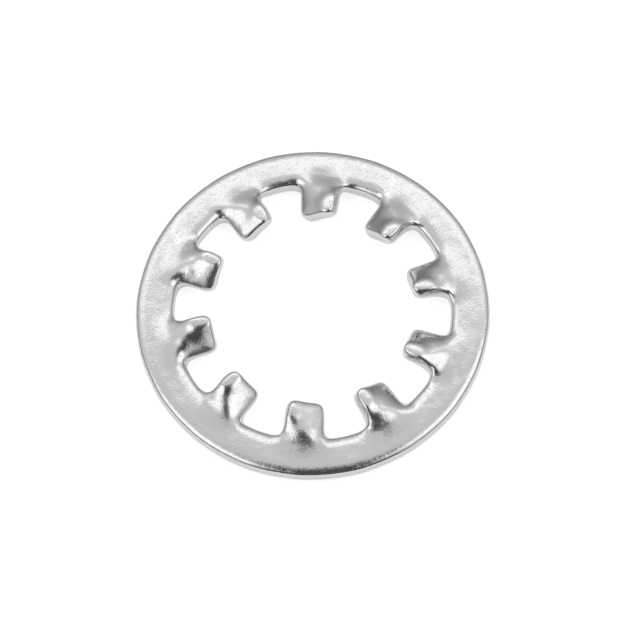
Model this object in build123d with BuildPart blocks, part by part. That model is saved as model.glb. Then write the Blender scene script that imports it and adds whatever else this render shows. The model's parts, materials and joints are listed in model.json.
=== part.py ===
from build123d import *
from math import comb, cos, hypot, radians, sin, tan
import os

# Internal-tooth lock washer for a 3/8 in (9.5 mm) bolt, in millimetres.
# The ring lies flat and centred on the origin, its mid-plane at z = 0 and the bolt along Z.
# The first tooth points from +X towards the centre.

# The flat blank, as it is stamped from strip
OUTER_DIAMETER = 17.4
ROOT_DIAMETER = 13.55  # circle the teeth grow inwards from
HOLE_DIAMETER = 9.9  # circle the tooth tips are bored to
THICKNESS = 0.9
TOOTH_COUNT = 10
TOOTH_ROOT_WIDTH = 2.1
TOOTH_TIP_WIDTH = 1.9
ROOT_FILLET = 0.33  # where a tooth side runs into the root circle
TIP_CORNER = 0.47  # corners of a tooth tip, seen from above

# The set, as each tooth is then twisted about its own length
TWIST = 30.0  # degrees, along the middle of a tooth once the twist is complete
RAISE = 0.28  # lift of the tooth's own centre line
RAMP = 0.42  # share of the ring's width that bends along with a tooth

# Tumbling breaks the upper edges and both edges of the outside
EDGE_BREAK = 0.2

half = THICKNESS / 2
outer = OUTER_DIAMETER / 2
root = ROOT_DIAMETER / 2
bore = HOLE_DIAMETER / 2
tooth_half = TOOTH_ROOT_WIDTH / 2
lean = radians(TWIST)
wall_lean = 0.8 * lean  # a tooth's side walls are flat and lean a little less than its middle
pitch = 180 / TOOTH_COUNT  # half the angle from one tooth to the next
reach = OUTER_DIAMETER  # longer than anything that is cut
overlap = 0.35  # how far a cut runs on past what it trims
near = 0.02  # sizes closer than this count as equal

# The bent sheet over each tooth is one smooth patch. Its control rows step inwards from where the
# ring is still flat to just inside the tip, and its control columns step across the tooth. The two
# outer columns on each side stay level, so the sheet is flat again before the next tooth.
ROWS = 8
COLUMNS = 11
sheet_start = root + RAMP * (outer - root)
sheet_end = bore - overlap
sheet_half = 0.95 * root * sin(radians(pitch))
column_step = 2 * sheet_half / COLUMNS
level_half = sheet_half - column_step


def bent(x, y, height, share):
    """Where a point of the flat sheet goes once it has this share of the full twist."""
    across = 1 + share * (cos(lean) - 1)
    along = share * sin(lean)
    return Vector(x, y * across + height * along, share * RAISE - y * along + height * across)


def share_at_control(row, column):
    """Share of the twist held by a control point: none on the ring, all of it on the free tooth."""
    if row < 2 or column < 2 or column > COLUMNS - 2:
        return 0
    if row > ROWS / 2:
        return 1
    y = column * column_step - sheet_half
    return min(1, (level_half - abs(y)) / (level_half - tooth_half))


def sheet_points(height):
    """Control points of one face of the sheet, row by row."""
    rows = []
    for row in range(ROWS + 1):
        x = sheet_start + (sheet_end - sheet_start) * row / ROWS
        line = []
        for column in range(COLUMNS + 1):
            y = column * column_step - sheet_half
            line.append(bent(x, y, height, share_at_control(row, column)))
        rows.append(line)
    return rows


def bent_sheet():
    """The sheet over one tooth as a closed solid: its two faces, and the four cuts round them."""
    top, bottom = sheet_points(half), sheet_points(-half)
    faces = [Face.make_bezier_surface(top), Face.make_bezier_surface(bottom)]
    ends = [Edge.make_bezier(*top[-1]), Edge.make_bezier(*bottom[-1])]
    ends += [Edge.make_line(top[-1][column], bottom[-1][column]) for column in (0, -1)]
    faces.append(Face(Wire(ends)))
    for first, last in (((0, 0), (0, -1)), ((0, 0), (-1, 0)), ((0, -1), (-1, -1))):
        corners = [face[row][column] for face in (top, bottom) for row, column in (first, last)]
        faces.append(Face(Wire.make_polygon(corners[:2] + corners[:1:-1], close=True)))
    return Solid(Shell(faces))


def share_on_tooth(x):
    """Share of the twist reached on the tooth's centre line at this distance from the centre."""
    inward = (sheet_start - x) / (sheet_start - sheet_end)
    still_flat = sum(comb(ROWS, row) * inward**row * (1 - inward) ** (ROWS - row) for row in (0, 1))
    return 1 - still_flat


def side_wall(x, y, z):
    """Where the side wall at half-width y passes level z."""
    middle = bent(x, y, 0, share_on_tooth(x))
    return Vector(x, middle.Y + (z - middle.Z) * tan(wall_lean), z)


def tooth_outline(z):
    """Outline of one tooth at level z, run on at both ends past the bore and into the ring."""
    corners = []
    for side in (-1, 1):
        tip = side_wall(bore, side * TOOTH_TIP_WIDTH / 2, z)
        base = side_wall(root, side * tooth_half, z)
        taper = (base.Y - tip.Y) / (base.X - tip.X)
        ends = [(x, tip.Y + taper * (x - tip.X)) for x in (sheet_end - overlap, root + overlap)]
        corners += ends if side < 0 else ends[::-1]
    return corners


def radius_of(point):
    return hypot(point.X, point.Y)


def tall_edges(cutter, radius):
    """Full-height edges of the cutter on this radius, away from its two radial cuts."""
    height = cutter.part.bounding_box().size.Z
    found = []
    for edge in cutter.edges():
        middle = edge @ 0.5
        is_tall = abs(edge.bounding_box().size.Z - height) < near
        if is_tall and abs(radius_of(middle) - radius) < near and abs(middle.Y) < sheet_half:
            found.append(edge)
    return found


# Wedge of the plan that belongs to one tooth
with BuildSketch() as wedge:
    with BuildLine():
        Polyline(
            (0, 0),
            (reach * cos(radians(pitch)), -reach * sin(radians(pitch))),
            (reach * cos(radians(pitch)), reach * sin(radians(pitch))),
            close=True,
        )
    make_face()

# Cutter: the outline of ring and tooth, much taller than the sheet, with leaning tooth sides
top_reach = bent(bore, -tooth_half, half, 1).Z + overlap
low_reach = bent(bore, tooth_half, -half, 1).Z - overlap
with BuildPart() as outline:
    for z in (low_reach, top_reach):
        with BuildSketch(Plane.XY.offset(z)):
            with BuildLine():
                Polyline(*tooth_outline(z), close=True)
            make_face()
    loft(ruled=True)
    with BuildSketch(Plane.XY.offset(low_reach)):
        Circle(outer)
        Circle(root, mode=Mode.SUBTRACT)
        add(wedge.sketch, mode=Mode.INTERSECT)
    extrude(amount=top_reach - low_reach)
    Cylinder(bore, 4 * reach, rotation=(0, 0, 180), mode=Mode.SUBTRACT)
    fillet(tall_edges(outline, root), ROOT_FILLET)
    fillet(tall_edges(outline, bore), TIP_CORNER)

# One tenth of the washer: flat ring, bent sheet let into it, both trimmed to the outline
with BuildPart() as sector:
    with BuildSketch():
        Circle(outer)
        Circle(root - overlap, mode=Mode.SUBTRACT)
        add(wedge.sketch, mode=Mode.INTERSECT)
        with Locations((sheet_start / 2, 0)):
            Rectangle(sheet_start, 2 * sheet_half, mode=Mode.SUBTRACT)
    extrude(amount=half, both=True)
    add(bent_sheet())
    add(outline.part, mode=Mode.INTERSECT)
    walls = [face for face in sector.faces() if abs(face.normal_at().Z) < 0.5]
    wall_edges = ShapeList([wall for wall in walls if radius_of(wall.center()) < root + near]).edges()
    upper_edges = ShapeList([face for face in sector.faces() if face.normal_at().Z > 0.5]).edges()
    chamfer([edge for edge in upper_edges if edge in wall_edges], EDGE_BREAK)

# The whole washer, with the two edges of its outside broken once it is in one piece
with BuildPart() as lock_washer:
    with PolarLocations(0, TOOTH_COUNT):
        add(sector.part)
    chamfer(lock_washer.edges().filter_by(GeomType.CIRCLE).group_by(SortBy.RADIUS)[-1], EDGE_BREAK)

lock_washer.part.label = "lock_washer"
os.makedirs("parts", exist_ok=True)
export_step(lock_washer.part, "parts/lock_washer.step")
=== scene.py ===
# %% [markdown]
# # A toothed lock washer
# The real part is one stamping. A flat ring with ten short teeth pointing inwards is punched from
# steel strip, each tooth is twisted about its own length, and the washers are tumbled with stones
# until every edge is round and the steel shines. The cells below take the same steps: draw a flat
# pattern, give it thickness, set its teeth, polish it. Only the edges come out of order. They are
# rounded while the blank is still flat, because there they are easy to find.

# %% Load the solid washer that this one must match
import bmesh
import bpy
import json
from math import asin, atan2, cos, degrees, exp, hypot, pi, radians, sin
from mathutils import Matrix, Vector


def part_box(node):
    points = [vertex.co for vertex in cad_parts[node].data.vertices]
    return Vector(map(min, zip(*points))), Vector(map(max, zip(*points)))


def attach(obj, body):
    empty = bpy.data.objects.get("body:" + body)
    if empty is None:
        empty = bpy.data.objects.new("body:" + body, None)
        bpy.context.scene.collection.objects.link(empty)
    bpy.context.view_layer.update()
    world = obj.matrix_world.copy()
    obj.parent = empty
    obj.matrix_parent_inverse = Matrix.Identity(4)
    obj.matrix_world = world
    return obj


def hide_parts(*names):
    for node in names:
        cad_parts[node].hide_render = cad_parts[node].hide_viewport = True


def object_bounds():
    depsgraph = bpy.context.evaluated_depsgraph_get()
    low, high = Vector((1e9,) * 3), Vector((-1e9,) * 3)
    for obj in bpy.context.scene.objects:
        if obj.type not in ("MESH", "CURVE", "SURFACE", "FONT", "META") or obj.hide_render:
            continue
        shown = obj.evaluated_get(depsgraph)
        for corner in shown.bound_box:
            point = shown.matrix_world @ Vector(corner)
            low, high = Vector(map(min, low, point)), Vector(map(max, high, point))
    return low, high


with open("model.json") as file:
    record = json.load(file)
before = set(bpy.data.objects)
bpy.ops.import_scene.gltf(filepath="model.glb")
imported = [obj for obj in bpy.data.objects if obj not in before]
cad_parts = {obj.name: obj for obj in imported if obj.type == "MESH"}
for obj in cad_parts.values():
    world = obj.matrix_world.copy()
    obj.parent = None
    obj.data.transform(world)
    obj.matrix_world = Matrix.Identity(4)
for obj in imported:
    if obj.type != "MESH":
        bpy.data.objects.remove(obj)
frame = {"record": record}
solid_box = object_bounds()
print("solid washer, mm:", [[round(1000 * v, 3) for v in corner] for corner in solid_box])

# %% [markdown]
# ## Sizes
# A washer is described by a few numbers that any catalogue gives. The outside, the hole and the
# thickness come from the solid, so that both models stay one size. The teeth are typed here, in
# millimetres, because a box and a few mounts can't say how wide or how round they are.

# %% Sizes of the blank
MM = 0.001
TOOTH_COUNT = 10
ROOT_RADIUS = 6.775 * MM  # circle that the teeth grow inwards from
TOOTH_HALF_AT_ROOT = 1.05 * MM  # half the width of a tooth
TOOTH_HALF_AT_TIP = 0.95 * MM
ROOT_FILLET = 0.42 * MM  # where the side of a tooth runs into the root circle
TIP_CORNER = 0.47 * MM  # corners of a tooth, seen from above
mounts = {mount["name"]: mount for mount in frame["record"]["mounts"]}
outer_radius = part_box("lock_washer")[1][0]
tip_radius = mounts["screw_hole"]["dims"]["r_mm"] * MM
half_thickness = mounts["top_face"]["pos_m"][2]
pitch = 2 * pi / TOOTH_COUNT  # angle from one tooth to the next
print("radius outside, mm:", round(outer_radius / MM, 3), "of the hole:", round(tip_radius / MM, 3))
print("thickness, mm:", round(2 * half_thickness / MM, 3))

# %% [markdown]
# ## The flat pattern
# Only one tenth of the washer has to be drawn, since the teeth are still alike. A coarse grid is
# enough, because a subdivision surface will round it later. Such a surface rounds a corner over
# the whole distance to the next grid line, to a radius of about 0.57 of it, so the lines beside
# a corner are placed by the radius that the corner should have. A circle with a boolean cut for
# each notch would look right too, but it leaves long thin faces that can't be bent smoothly.

# %% Where the grid lines of one tenth go
CORNER_SHARE = 0.57  # radius of a subdivided right angle, as a share of the distance to the next line
INNER_LINE = 0.35  # circle inside the ring, as a share of the ring's width from the root
OUTER_LINE = 0.3  # circle inside the ring, as a share of its width from the outside
MIDDLE_LINE = 0.2  # line near the middle of a tooth, as a share of half the tooth's width
ring_width = outer_radius - ROOT_RADIUS
row_radii = [
    tip_radius,
    tip_radius + TIP_CORNER / CORNER_SHARE,
    ROOT_RADIUS - ROOT_FILLET / CORNER_SHARE,
    ROOT_RADIUS,
    ROOT_RADIUS + INNER_LINE * ring_width,
    outer_radius - OUTER_LINE * ring_width,
    outer_radius,
]
root_row = row_radii.index(ROOT_RADIUS)
tooth_edge_angle = asin(TOOTH_HALF_AT_ROOT / ROOT_RADIUS)
fillet_line_angle = tooth_edge_angle + ROOT_FILLET / CORNER_SHARE / ROOT_RADIUS
half_columns = [MIDDLE_LINE * tooth_edge_angle, tooth_edge_angle, fillet_line_angle, pitch / 2]
column_angles = [-angle for angle in reversed(half_columns)] + half_columns
print("rows, mm:", [round(r / MM, 2) for r in row_radii])
print("columns, degrees:", [round(degrees(a), 2) for a in column_angles])


# %% Where a grid crossing lies on the strip
def pattern_point(row, column):
    """Place of a grid crossing: radial lines over the ring, lines along the tooth inside it."""
    radius = row_radii[row]
    angle = column_angles[column]
    if row < root_row:
        along = (radius - tip_radius) / (ROOT_RADIUS - tip_radius)
        half_width = TOOTH_HALF_AT_TIP + along * (TOOTH_HALF_AT_ROOT - TOOTH_HALF_AT_TIP)
        angle = asin(half_width * angle / tooth_edge_angle / radius)
    return Vector((radius * cos(angle), radius * sin(angle), 0))


print("first corner of the tip, mm:", [round(v / MM, 2) for v in pattern_point(0, 2)])

# %% Draw one tenth, without its notches
columns, rows = len(column_angles) - 1, len(row_radii) - 1
blank = bmesh.new()
bmesh.ops.create_grid(blank, x_segments=columns, y_segments=rows, size=1)
# The grid runs from -1 to 1 both ways, so a point's place gives the row and the column it is on
crossing = {v: (round((v.co.y + 1) / 2 * rows), round((v.co.x + 1) / 2 * columns)) for v in blank.verts}
notch = []
for face in blank.faces:
    face_rows = [crossing[v][0] for v in face.verts]
    face_angles = [abs(column_angles[crossing[v][1]]) for v in face.verts]
    if max(face_rows) <= root_row and max(face_angles) > tooth_edge_angle:
        notch.append(face)
for vert, (row, column) in crossing.items():
    vert.co = pattern_point(row, column)
bmesh.ops.delete(blank, geom=notch, context="FACES")
print("one tenth:", len(blank.faces), "faces,", len(notch), "cut out for the notches")

# %% Spin the tenth round
TOUCHING = 0.01 * MM  # points closer than this are the same point
bmesh.ops.spin(
    blank,
    geom=blank.verts[:] + blank.edges[:] + blank.faces[:],
    cent=(0, 0, 0),
    axis=(0, 0, 1),
    angle=pitch * (TOOTH_COUNT - 1),
    steps=TOOTH_COUNT - 1,
    use_duplicate=True,
)
bmesh.ops.remove_doubles(blank, verts=blank.verts[:], dist=TOUCHING)
bmesh.ops.recalc_face_normals(blank, faces=blank.faces[:])
print("flat pattern:", len(blank.faces), "faces", len(blank.verts), "points")

# %% [markdown]
# ## Thickness and round edges
# The strip gives the blank its thickness. Tumbling then takes the edges off, which on metal this
# bright matters more than anything else: each round edge picks up a bright or a dark line. A
# Solidify and a Bevel modifier would come close, but with operators each rim gets its own
# radius: the stones have worn the upper edges more than the lower ones.

# %% Thicken the blank
bmesh.ops.solidify(blank, geom=blank.faces[:], thickness=2 * half_thickness)
middle = sum((v.co.z for v in blank.verts)) / len(blank.verts)
bmesh.ops.translate(blank, verts=blank.verts[:], vec=(0, 0, -middle))
bmesh.ops.recalc_face_normals(blank, faces=blank.faces[:])
print("thickened:", len(blank.faces), "faces")

# %% Bevel both rims
UPPER_ROUND = 0.22 * MM
LOWER_ROUND = 0.15 * MM
STEEP = 0.5  # a face whose normal has less height than this is a wall
upper_rim, lower_rim = [], []
for edge in blank.edges:
    heights = sorted(abs(face.normal.z) for face in edge.link_faces)
    if heights[0] < STEEP < heights[1]:
        (upper_rim if edge.verts[0].co.z > 0 else lower_rim).append(edge)
for rim, offset, segments in ((upper_rim, UPPER_ROUND, 2), (lower_rim, LOWER_ROUND, 1)):
    bmesh.ops.bevel(
        blank,
        geom=rim,
        offset=offset,
        offset_type="OFFSET",
        segments=segments,
        profile=0.5,
        affect="EDGES",
        material=-1,
    )
print("cage:", len(blank.faces), "faces")

# %% [markdown]
# ## A smooth blank
# A worn blank has no straight facets, and the cage is made of them. Subdivision turns its corners
# into arcs. Two rounds are applied now, because the press needs enough points to bend. A third
# stays live as a modifier, where it smooths what the press leaves and can still be changed.


# %% Make the cage an object and subdivide it
def to_object(mesh_builder, name):
    """A new mesh object at the origin, in the scene."""
    mesh = bpy.data.meshes.new(name)
    mesh_builder.to_mesh(mesh)
    mesh_builder.free()
    made = bpy.data.objects.new(name, mesh)
    bpy.context.scene.collection.objects.link(made)
    return made


def add_subdivision(target, levels):
    """A live subdivision surface, the same in the view and in the render."""
    smooth = target.modifiers.new("Rounding", "SUBSURF")
    smooth.levels = smooth.render_levels = levels
    return smooth


washer = to_object(blank, "washer")
rounding = add_subdivision(washer, 2)
dense = bpy.data.meshes.new_from_object(washer.evaluated_get(bpy.context.evaluated_depsgraph_get()))
washer.modifiers.remove(rounding)
washer.data = dense
print("before the set:", len(dense.polygons), "faces")

# %% [markdown]
# ## Setting the teeth
# The press grips the ring and sets each tooth in one blow. A round-nosed punch lifts the root,
# which leaves a low dome where the tooth meets the ring, and the tooth is turned about its own
# length. Most of the turn is there two thirds of the way to the tip, and a small share comes on
# slowly up to the tip itself. Beside the tooth both movements die out within 0.6 mm. A Simple
# Deform modifier twists about one line only, so the points are moved here instead.

# %% How far each movement reaches
FULL_WIDTH = 0.95  # share of a tooth's half-width that moves as one
BESIDE = 0.6 * MM  # distance beside a tooth over which its movement dies out
DOME_HALF = 1.6 * MM  # half-width of the dome that the punch leaves at the root
# Where a movement starts and where it is whole, as distances outwards from the root circle
APRON = (1.25 * MM, -0.1 * MM)  # the ring is lifted ahead of the tooth
RISE = (0.4 * MM, -0.4 * MM)  # the root is lifted
FREE = (-0.1 * MM, -1.1 * MM)  # the lift spreads from the dome to the whole width of the tooth
QUICK_TURN = (0.4 * MM, -1.2 * MM)  # most of the twist
SLOW_TURN_START = -0.5 * MM  # the rest of the twist, which is whole at the tip


def eased(value, none_at, whole_at):
    """Soft change from 0 where the value is none_at to 1 where it is whole_at."""
    share = min(1, max(0, (value - none_at) / (whole_at - none_at)))
    return share * share * (3 - 2 * share)


def eased_inwards(x, reach):
    """The same along a tooth, between two distances from the root circle."""
    return eased(x, ROOT_RADIUS + reach[0], ROOT_RADIUS + reach[1])


def on_tooth(y):
    """1 over the width of a tooth, fading to 0 beside it."""
    return 1 - eased(abs(y), FULL_WIDTH * TOOTH_HALF_AT_ROOT, TOOTH_HALF_AT_ROOT + BESIDE)


print("share of a movement at the side of a tooth:", round(on_tooth(TOOTH_HALF_AT_ROOT), 3))

# %% How much of the lift each place has
APRON_SHARE = 0.48  # share of the lift that is spread over the ring ahead of the tooth


def share_of_lift(x, y):
    """Share of the lift: a dome at the root, and the whole width of the tooth further in."""
    dome = 1 - eased(abs(y), 0, DOME_HALF)
    free = on_tooth(y) * eased_inwards(x, FREE)
    raised = APRON_SHARE * eased_inwards(x, APRON) + (1 - APRON_SHARE) * eased_inwards(x, RISE)
    return raised * (dome + (1 - dome) * free)


print("share of the lift at the root, in the middle:", round(share_of_lift(ROOT_RADIUS, 0), 2))

# %% How much of the twist each place has
SLOW_SHARE = 0.14  # share of the twist that comes on slowly towards the tip


def share_of_twist(x, y):
    """Share of the twist: all of it at the tip, fading beside the tooth."""
    quick = eased_inwards(x, QUICK_TURN)
    slow = eased(x, ROOT_RADIUS + SLOW_TURN_START, tip_radius)
    return on_tooth(y) * ((1 - SLOW_SHARE) * quick + SLOW_SHARE * slow)


print("share of the twist at the root, in the middle:", round(share_of_twist(ROOT_RADIUS, 0), 2))

# %% [markdown]
# Lift and twist act together, so one function moves a point by both. A press never sets ten teeth
# quite alike, and on this washer one is turned only half as far as the others. Since the function
# is told which tooth it is on, a factor is enough for that one.

# %% One blow of the press
TWIST = radians(32)
LIFT = 0.28 * MM
SHALLOW_TOOTH = -3  # the third one clockwise from +X
SHALLOW_SHARE = 0.5


def set_by_press(point, tooth):
    """A point of the flat blank, in the frame of a tooth along +X, after the press."""
    share = share_of_twist(point.x, point.y) * (SHALLOW_SHARE if tooth == SHALLOW_TOOTH else 1)
    turn_cos = 1 + share * (cos(TWIST) - 1)
    turn_sin = share * sin(TWIST)
    raised = LIFT * share_of_lift(point.x, point.y)
    return Vector((
        point.x,
        point.y * turn_cos + point.z * turn_sin,
        raised - point.y * turn_sin + point.z * turn_cos,
    ))


high_corner = set_by_press(Vector((tip_radius, -TOOTH_HALF_AT_TIP, half_thickness)), 0)
print("high corner of a tip, mm:", round(high_corner.z / MM, 3))

# %% [markdown]
# The tool also bears on the high edge of a tooth, and presses back what would stand above a set
# level. The slope eases off there, and the last bit beside the edge falls away a little. Cutting
# the points off at that level would leave a kink, which shows on bright steel as a line, so the
# height follows an exponential, which begins with the slope that was there before.

# %% How the high edge is bent over
PRESS_LEVEL = 0.85 * MM  # height above the middle of the ring where the slope begins to ease
PRESS_GIVE = 0.085 * MM  # further height over which it eases
FALL = 0.05  # slope left beside the edge, downwards, as a share of the slope before the bend


def bent_over(point):
    """The same point once the tool has bent over anything higher than the press level."""
    excess = point.z - PRESS_LEVEL
    if excess > 0:
        eased_off = PRESS_GIVE * (1 - exp(-excess / PRESS_GIVE))
        point.z = PRESS_LEVEL + (1 + FALL) * eased_off - FALL * excess
    return point


print("the same corner, bent over, mm:", round(bent_over(high_corner).z / MM, 3))

# %% [markdown]
# ## Wear beside the edges
# Tumbling wears a wide, very shallow slope beside every upper edge, as well as rounding the edge
# itself. It is less than a tenth of a millimetre deep, but on bright steel it shows as a band of
# its own. A bevel that wide would be flat and would end in a line, so the points are lowered
# instead, by a depth that grows slowly from nothing. It is worked out on the flat blank too, where
# the distance to the outline is a matter of two or three subtractions.

# %% How far the upper face is worn beside an edge
RING_WEAR_WIDTH = 0.6 * MM
TOOTH_WEAR_WIDTH = 0.7 * MM
RING_WEAR_SLOPE = 0.16  # how steep the worn slope is right at the edge
TOOTH_WEAR_SLOPE = 0.12
WEAR_CURVE = 1.5  # power of the distance that the depth grows with; above 1, it starts without a line


def wear_at(point):
    """Depth worn off the upper face of the flat blank, by a point's distance to the outline."""
    radius = hypot(point.x, point.y)
    if point.z < 0:
        return 0
    if radius < ROOT_RADIUS:
        width, slope = TOOTH_WEAR_WIDTH, TOOTH_WEAR_SLOPE
        inward = min(TOOTH_HALF_AT_ROOT - abs(point.y), radius - tip_radius)
    else:
        width, slope = RING_WEAR_WIDTH, RING_WEAR_SLOPE
        inward = outer_radius - radius
        if abs(point.y) > TOOTH_HALF_AT_ROOT:
            inward = min(inward, radius - ROOT_RADIUS)
    return slope * width / WEAR_CURVE * max(0, 1 - inward / width) ** WEAR_CURVE


print("worn off the outside edge, mm:", round(wear_at(Vector((outer_radius, 0, 0))) / MM, 3))

# %% [markdown]
# ## All ten teeth
# Every point belongs to the tooth that it is nearest to. It is turned until that tooth lies along
# +X, worn, set, bent over and turned back. That keeps the steps above simple, since each has to
# know only one tooth.

# %% Set every tooth
for vert in dense.vertices:
    tooth = round(atan2(vert.co.y, vert.co.x) / pitch)
    to_tooth = Matrix.Rotation(-tooth * pitch, 3, "Z")
    flat = to_tooth @ vert.co
    flat.z -= wear_at(flat)
    vert.co = to_tooth.transposed() @ bent_over(set_by_press(flat, tooth))
dense.shade_smooth()
add_subdivision(washer, 1)
print("washer, mm:", [round(1000 * v, 3) for v in washer.dimensions])

# %% [markdown]
# The finished mesh takes the place of the solid washer. It rides on the only body there is, and
# the solid is hidden, so that nothing shows twice.

# %% Put it in the solid's place
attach(washer, "root")
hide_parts("lock_washer")
print(washer.name, "rides on root and hides lock_washer")

# %% [markdown]
# ## The steel
# Tumbling with stones leaves the steel bright but not flat. A slow waviness clouds what it
# mirrors, and finer dimples and grain break up the reflections. Colour alone could not do that,
# so they are heights, which bend the reflections as the real ones do. A real surface has all of
# them at once, so one node group adds a layer of noise to the heights below it, and is used three
# times.


# %% Noise as a height
def make_ripple_group():
    """Node group that adds a layer of noise of a given size and depth to the heights below it."""
    ripple = bpy.data.node_groups.new("ripple", "ShaderNodeTree")
    for socket_name, kind in (("Place", "NodeSocketVector"), ("Per metre", "NodeSocketFloat"),
                              ("Depth", "NodeSocketFloat"), ("Below", "NodeSocketFloat")):
        ripple.interface.new_socket(socket_name, in_out="INPUT", socket_type=kind)
    ripple.interface.new_socket("Height", in_out="OUTPUT", socket_type="NodeSocketFloat")
    inward, outward = ripple.nodes.new("NodeGroupInput"), ripple.nodes.new("NodeGroupOutput")
    noise = ripple.nodes.new("ShaderNodeTexNoise")
    noise.inputs["Detail"].default_value = 2
    deepen = ripple.nodes.new("ShaderNodeMath")
    deepen.operation = "MULTIPLY_ADD"
    ripple.links.new(inward.outputs["Place"], noise.inputs["Vector"])
    ripple.links.new(inward.outputs["Per metre"], noise.inputs["Scale"])
    ripple.links.new(noise.outputs["Fac"], deepen.inputs[0])
    ripple.links.new(inward.outputs["Depth"], deepen.inputs[1])
    ripple.links.new(inward.outputs["Below"], deepen.inputs[2])
    ripple.links.new(deepen.outputs["Value"], outward.inputs["Height"])
    return ripple


ripple_group = make_ripple_group()
print("ripple group:", len(ripple_group.nodes), "nodes")

# %% Lay the ripples on the steel
RIPPLES = [
    # name, bumps per metre, depth in mm
    ("waviness", 800, 0.026),
    ("dimples", 6000, 0.003),
    ("grain", 11000, 0.0045),
]


def set_inputs(node, values):
    """Type a value into each named input of a node."""
    for socket_name, value in values.items():
        node.inputs[socket_name].default_value = value


steel = bpy.data.materials.new("tumbled_steel")
steel.use_nodes = True
nodes, links = steel.node_tree.nodes, steel.node_tree.links
shader = nodes["Principled BSDF"]
shader.inputs["Metallic"].default_value = 1
place = nodes.new("ShaderNodeTexCoord")
height = None
for name, per_metre, depth in RIPPLES:
    ripple = nodes.new("ShaderNodeGroup")
    ripple.node_tree = ripple_group
    ripple.name = ripple.label = name
    set_inputs(ripple, {"Per metre": per_metre, "Depth": depth * MM})
    links.new(place.outputs["Object"], ripple.inputs["Place"])
    if height:
        links.new(height.outputs["Height"], ripple.inputs["Below"])
    height = ripple
bump = nodes.new("ShaderNodeBump")
bump.inputs["Distance"].default_value = 1  # the heights are real ones, in metres
links.new(height.outputs["Height"], bump.inputs["Height"])
links.new(bump.outputs["Normal"], shader.inputs["Normal"])
print("ripples:", [name for name, per_metre, depth in RIPPLES])

# %% [markdown]
# Stones don't rub everywhere alike. The faces come out duller in some places than in others, and
# the edges are rubbed brighter than the faces. Noise serves for the first. For the second, a map
# could be painted, but Geometry's Pointiness finds the edges by itself: it is 0.5 on a flat face
# and more on an edge.

# %% Duller and brighter places
CLOUDS_PER_METRE = 1500
BRIGHT_ROUGHNESS = 0.08
DULL_ROUGHNESS = 0.17
NOISE_RANGE = (0.3, 0.7)  # nearly all of the noise lies between these
FACE_GREY = 0.79
EDGE_GREY = 0.9
EDGE_POINTINESS = (0.5, 0.6)  # from none of the edge's grey to all of it


def grey(level):
    """A plain grey with no transparency."""
    return (level, level, level, 1)


cloud = nodes.new("ShaderNodeTexNoise")
set_inputs(cloud, {"Scale": CLOUDS_PER_METRE, "Detail": 4})
dulling = nodes.new("ShaderNodeMapRange")
set_inputs(dulling, {"From Min": NOISE_RANGE[0], "From Max": NOISE_RANGE[1]})
set_inputs(dulling, {"To Min": BRIGHT_ROUGHNESS, "To Max": DULL_ROUGHNESS})
links.new(place.outputs["Object"], cloud.inputs["Vector"])
links.new(cloud.outputs["Fac"], dulling.inputs["Value"])
surface = nodes.new("ShaderNodeNewGeometry")
edge_wear = nodes.new("ShaderNodeMapRange")
set_inputs(edge_wear, {"From Min": EDGE_POINTINESS[0], "From Max": EDGE_POINTINESS[1]})
rubbed = nodes.new("ShaderNodeMix")
rubbed.data_type = "RGBA"
set_inputs(rubbed, {"A": grey(FACE_GREY), "B": grey(EDGE_GREY)})
links.new(surface.outputs["Pointiness"], edge_wear.inputs["Value"])
links.new(edge_wear.outputs["Result"], rubbed.inputs["Factor"])
print("roughness from", BRIGHT_ROUGHNESS, "to", DULL_ROUGHNESS)

# %% [markdown]
# The stones also leave pits too small to see one by one. They are duller than the steel round them,
# and the shade that falls in them is painted into the colour as a darker grey; together they give
# it its speckle. Pits could be heights too, but at this size only their shade is left to see. So the
# peaks of a fine noise make a mask, and the one mask both dulls and paints that shade.

# %% Pits that the stones leave: duller, with painted shade in them
PITS_PER_METRE = 7000
PIT_NOISE = (0.5, 0.75)  # noise at which a pit begins, and at which it is at its darkest
# grey painted into the pits as the shade that falls in them, a little darker than the steel
PIT_SHADE_GREY = 0.75
PIT_ROUGHNESS = 0.28
specks = nodes.new("ShaderNodeTexNoise")
set_inputs(specks, {"Scale": PITS_PER_METRE, "Detail": 1})
# mask of the pits: it dulls them, which is real, and places their painted shade
pits_dulled_and_shaded = nodes.new("ShaderNodeMapRange")
set_inputs(pits_dulled_and_shaded, {"From Min": PIT_NOISE[0], "From Max": PIT_NOISE[1]})
# painted shade of the pits: a darker grey mixed into the colour where the mask is
shade_in_pits = nodes.new("ShaderNodeMix")
shade_in_pits.data_type = "RGBA"
shade_in_pits.inputs["B"].default_value = grey(PIT_SHADE_GREY)
dull_in_pits = nodes.new("ShaderNodeMix")
dull_in_pits.inputs["B"].default_value = PIT_ROUGHNESS
links.new(place.outputs["Object"], specks.inputs["Vector"])
links.new(specks.outputs["Fac"], pits_dulled_and_shaded.inputs["Value"])
links.new(pits_dulled_and_shaded.outputs["Result"], shade_in_pits.inputs["Factor"])
links.new(rubbed.outputs["Result"], shade_in_pits.inputs["A"])
links.new(shade_in_pits.outputs["Result"], shader.inputs["Base Color"])
links.new(pits_dulled_and_shaded.outputs["Result"], dull_in_pits.inputs["Factor"])
links.new(dulling.outputs["Result"], dull_in_pits.inputs["A"])
links.new(dull_in_pits.outputs["Result"], shader.inputs["Roughness"])
washer.data.materials.append(steel)
print("steel:", len(nodes), "nodes")

# %% [markdown]
# ## Camera
# A small flat part is looked at from well above, a little from the left, as it lies on a table.
# The camera stands twelve radii away, so the far teeth come out hardly smaller than the near
# ones. Its place and its turn could be typed, but three angles and a distance say better how the
# washer is looked at, and the lens follows from how large the washer is in the picture.

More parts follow.
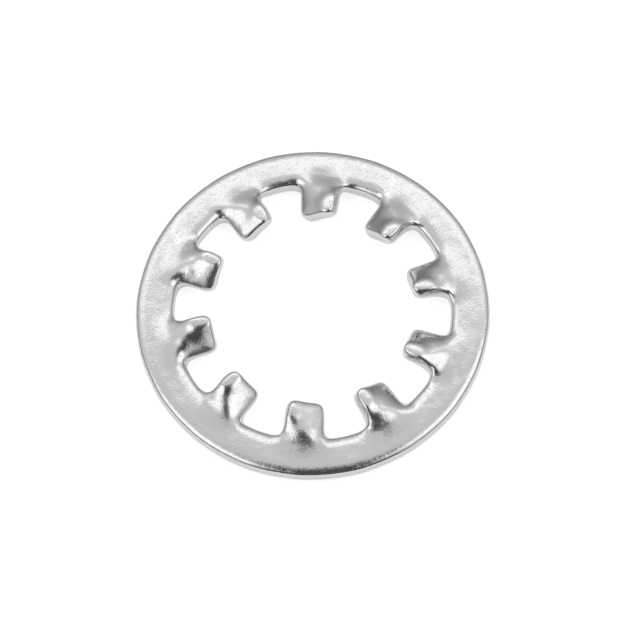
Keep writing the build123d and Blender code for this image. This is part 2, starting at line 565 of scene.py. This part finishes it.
# %% Set up the camera
VIEW_AZIMUTH = radians(-10.5)
VIEW_ELEVATION = radians(66.65)
VIEW_ROLL = radians(4.1)
RADII_AWAY = 12
PICTURE = 640  # pixels along a side of the picture
RADIUS_IN_PICTURE = 177.3  # pixels from the middle of the washer to its outside
LEFT_OF_MIDDLE = 7.6  # pixels from the middle of the picture to the middle of the washer
ABOVE_MIDDLE = 9.3
camera_data = bpy.data.cameras.new("camera")
camera = bpy.data.objects.new("camera", camera_data)
bpy.context.scene.collection.objects.link(camera)
towards_camera = Vector((
    sin(VIEW_AZIMUTH) * cos(VIEW_ELEVATION),
    -cos(VIEW_AZIMUTH) * cos(VIEW_ELEVATION),
    sin(VIEW_ELEVATION),
))
stand = Matrix.Translation(RADII_AWAY * outer_radius * towards_camera)
aim = towards_camera.to_track_quat("Z", "Y").to_matrix().to_4x4()
camera.matrix_world = stand @ aim @ Matrix.Rotation(-VIEW_ROLL, 4, "Z")
camera_data.sensor_width = 36
camera_data.lens = RADIUS_IN_PICTURE * RADII_AWAY * camera_data.sensor_width / PICTURE
camera_data.shift_x = LEFT_OF_MIDDLE / PICTURE
camera_data.shift_y = -ABOVE_MIDDLE / PICTURE
camera_data.clip_start = 1 * MM
bpy.context.scene.camera = camera
bpy.context.scene.view_settings.view_transform = "Standard"
print("camera at, mm:", [round(v / MM) for v in camera.matrix_world.translation])
print("lens:", round(camera_data.lens, 1))

# %% [markdown]
# ## Light
# A mirror shows the room, so polished metal is lit by what stands round it. Small bright metal
# parts are shown in a tent of white cloth, which is even and pale nearly everywhere. The few
# things that aren't pale draw the shape: the opening for the lens, the camera's front and stand,
# the dark room behind them, the seams of the cloth, and the lamps that shine through it. Lamps
# and walls could be built round the washer, but patches on the sky are less work, and their edges
# can be as soft as those of cloth that is lit from behind. Each patch is placed by two angles:
# how far over it is, counted from the horizon behind the washer, and how far to one side.


# %% A patch of the tent
def make_patch_group():
    """Node group that is 1 inside a round or wide patch of sky and falls softly to 0 round it."""
    patch = bpy.data.node_groups.new("tent_patch", "ShaderNodeTree")
    for socket_name, kind in (("Direction", "NodeSocketVector"), ("Middle", "NodeSocketVector"),
                              ("Squeeze", "NodeSocketVector"), ("Solid to", "NodeSocketFloat"),
                              ("Gone by", "NodeSocketFloat")):
        patch.interface.new_socket(socket_name, in_out="INPUT", socket_type=kind)
    patch.interface.new_socket("Mask", in_out="OUTPUT", socket_type="NodeSocketFloat")
    inward, outward = patch.nodes.new("NodeGroupInput"), patch.nodes.new("NodeGroupOutput")
    squeezed = patch.nodes.new("ShaderNodeVectorMath")
    squeezed.operation = "MULTIPLY"
    unit = patch.nodes.new("ShaderNodeVectorMath")
    unit.operation = "NORMALIZE"
    nearness = patch.nodes.new("ShaderNodeVectorMath")
    nearness.operation = "DOT_PRODUCT"
    falloff = patch.nodes.new("ShaderNodeMapRange")
    falloff.interpolation_type = "SMOOTHSTEP"
    patch.links.new(inward.outputs["Direction"], squeezed.inputs[0])
    patch.links.new(inward.outputs["Squeeze"], squeezed.inputs[1])
    patch.links.new(squeezed.outputs["Vector"], unit.inputs[0])
    patch.links.new(unit.outputs["Vector"], nearness.inputs[0])
    patch.links.new(inward.outputs["Middle"], nearness.inputs[1])
    patch.links.new(nearness.outputs["Value"], falloff.inputs["Value"])
    patch.links.new(inward.outputs["Gone by"], falloff.inputs["From Min"])
    patch.links.new(inward.outputs["Solid to"], falloff.inputs["From Max"])
    patch.links.new(falloff.outputs["Result"], outward.inputs["Mask"])
    return patch


patch_group = make_patch_group()
print("patch group:", len(patch_group.nodes), "nodes")

# %% Hang the tent
TENT_LEVEL = 0.66  # brightness of the plain cloth, where 1 is white
world = bpy.data.worlds.new("light_tent")
world.use_nodes = True
bpy.context.scene.world = world
sky_nodes, sky_links = world.node_tree.nodes, world.node_tree.links
sky_place = sky_nodes.new("ShaderNodeTexCoord")
facing = sky_nodes.new("ShaderNodeVectorRotate")
facing.rotation_type = "Z_AXIS"
facing.inputs["Angle"].default_value = -VIEW_AZIMUTH
sky_links.new(sky_place.outputs["Generated"], facing.inputs["Vector"])
print("tent turned by", round(degrees(VIEW_AZIMUTH), 1), "degrees, to face where the camera stands")

# %% Stitch the patches into it
TENT_PATCHES = [
    # name, degrees over, degrees to the right,
    # degrees from its middle to where it is solid and to where it is gone, width to height, brightness
    ("far_wall", 30, 0, 10, 26, 2, 0.56),
    ("back_cloth", 60, 0, 2, 15, 2.8, 1.2),
    ("seam", 77, 0, 9, 12.5, 2.8, 0.65),
    ("left_seam", 71, -8, 5, 8, 1, 0.65),
    ("left_lamp", 104, -36, 14, 24, 1, 1.25),
    ("right_lamp", 95, 34, 13, 23, 1, 1.25),
    ("dark_room", 160, 3, 28, 38, 1, 0.13),
    ("camera_front", 97, 0, 8, 15.5, 1, 0.16),
    ("camera_stand", 136, 0, 13, 19, 1, 0.09),
    ("lens_opening", 113.35, 0, 12, 18, 1, 0.06),
]
brightness = None
for name, over, right, solid_to, gone_by, wide, level in TENT_PATCHES:
    patch = sky_nodes.new("ShaderNodeGroup")
    patch.node_tree = patch_group
    patch.name = patch.label = name
    over, right = radians(over), radians(right)
    set_inputs(patch, {
        "Middle": (sin(right), cos(right) * cos(over), cos(right) * sin(over)),
        "Squeeze": (1 / wide, 1, 1),
        "Solid to": cos(radians(solid_to)),
        "Gone by": cos(radians(gone_by)),
    })
    sky_links.new(facing.outputs["Vector"], patch.inputs["Direction"])
    blend = sky_nodes.new("ShaderNodeMix")
    set_inputs(blend, {"A": TENT_LEVEL, "B": level})
    sky_links.new(patch.outputs["Mask"], blend.inputs["Factor"])
    if brightness:
        sky_links.new(brightness.outputs["Result"], blend.inputs["A"])
    brightness = blend
print("patches:", len(TENT_PATCHES))

# %% [markdown]
# The table is darker than the tent, and the cloth near it gets less light. That is the part of
# the room that steep walls mirror, so the outside and the notches get their thin dark lines. A
# ring of patches could do it, but the height over the horizon alone is enough.

# %% Dim the tent towards the table
TABLE_LEVEL = 0.3  # share of the tent's brightness that is left at the table
TABLE_TOP = radians(4)  # height over the horizon up to which it is that dark
TENT_CLEAR = radians(44)  # height from which the tent has all its brightness
split = sky_nodes.new("ShaderNodeSeparateXYZ")
table_edge = sky_nodes.new("ShaderNodeMapRange")
table_edge.interpolation_type = "SMOOTHSTEP"
set_inputs(table_edge, {"From Min": sin(TABLE_TOP), "From Max": sin(TENT_CLEAR), "To Min": TABLE_LEVEL})
dim_low = sky_nodes.new("ShaderNodeMath")
dim_low.operation = "MULTIPLY"
sky_links.new(facing.outputs["Vector"], split.inputs["Vector"])
sky_links.new(split.outputs["Z"], table_edge.inputs["Value"])
sky_links.new(brightness.outputs["Result"], dim_low.inputs[0])
sky_links.new(table_edge.outputs["Result"], dim_low.inputs[1])
sky_links.new(dim_low.outputs["Value"], sky_nodes["Background"].inputs["Color"])
print("sky:", len(sky_nodes), "nodes")

# %% [markdown]
# ## Floor
# The washer lies on white card. The card is lit by the same tent, so it would come out grey. A
# little glow makes it white to the camera and leaves the washer's soft shadow on it. More light
# would whiten the card too, but it would wash out the steel. The steel mirrors the card as well,
# and there about half of the glow is enough, since the card close to a wall lies in its shade.

# %% Lay the card under the lowest corners of the teeth
FLOOR_REACH = 1.0  # metres from the middle of the card to each side
bpy.context.view_layer.update()
floor_builder = bmesh.new()
bmesh.ops.create_grid(floor_builder, x_segments=1, y_segments=1, size=FLOOR_REACH)
bmesh.ops.translate(floor_builder, verts=floor_builder.verts[:], vec=(0, 0, solid_box[0][2]))
floor = to_object(floor_builder, "floor")
print("card at height, mm:", round(solid_box[0][2] / MM, 3))

# %% White card with a glow
CARD_GREY = 0.8
CARD_ROUGHNESS = 0.9
GLOW = 0.65
GLOW_MIRRORED = 0.55  # share of the glow that shows in the steel
card = bpy.data.materials.new("white_card")
card.use_nodes = True
card_nodes, card_links = card.node_tree.nodes, card.node_tree.links
card_shader = card_nodes["Principled BSDF"]
set_inputs(card_shader, {"Base Color": grey(CARD_GREY), "Roughness": CARD_ROUGHNESS})
card_shader.inputs["Emission Color"].default_value = grey(1)
seen_by = card_nodes.new("ShaderNodeLightPath")
mirrored = card_nodes.new("ShaderNodeMath")
mirrored.operation = "MULTIPLY"
mirrored.inputs[1].default_value = GLOW_MIRRORED
share_seen = card_nodes.new("ShaderNodeMath")
share_seen.operation = "MAXIMUM"
glow = card_nodes.new("ShaderNodeMath")
glow.operation = "MULTIPLY"
glow.inputs[1].default_value = GLOW
card_links.new(seen_by.outputs["Is Camera Ray"], share_seen.inputs[0])
card_links.new(seen_by.outputs["Is Glossy Ray"], mirrored.inputs[0])
card_links.new(mirrored.outputs["Value"], share_seen.inputs[1])
card_links.new(share_seen.outputs["Value"], glow.inputs[0])
card_links.new(glow.outputs["Value"], card_shader.inputs["Emission Strength"])
floor.data.materials.append(card)
print("card glow:", GLOW, "to the camera,", round(GLOW * GLOW_MIRRORED, 2), "in the steel")
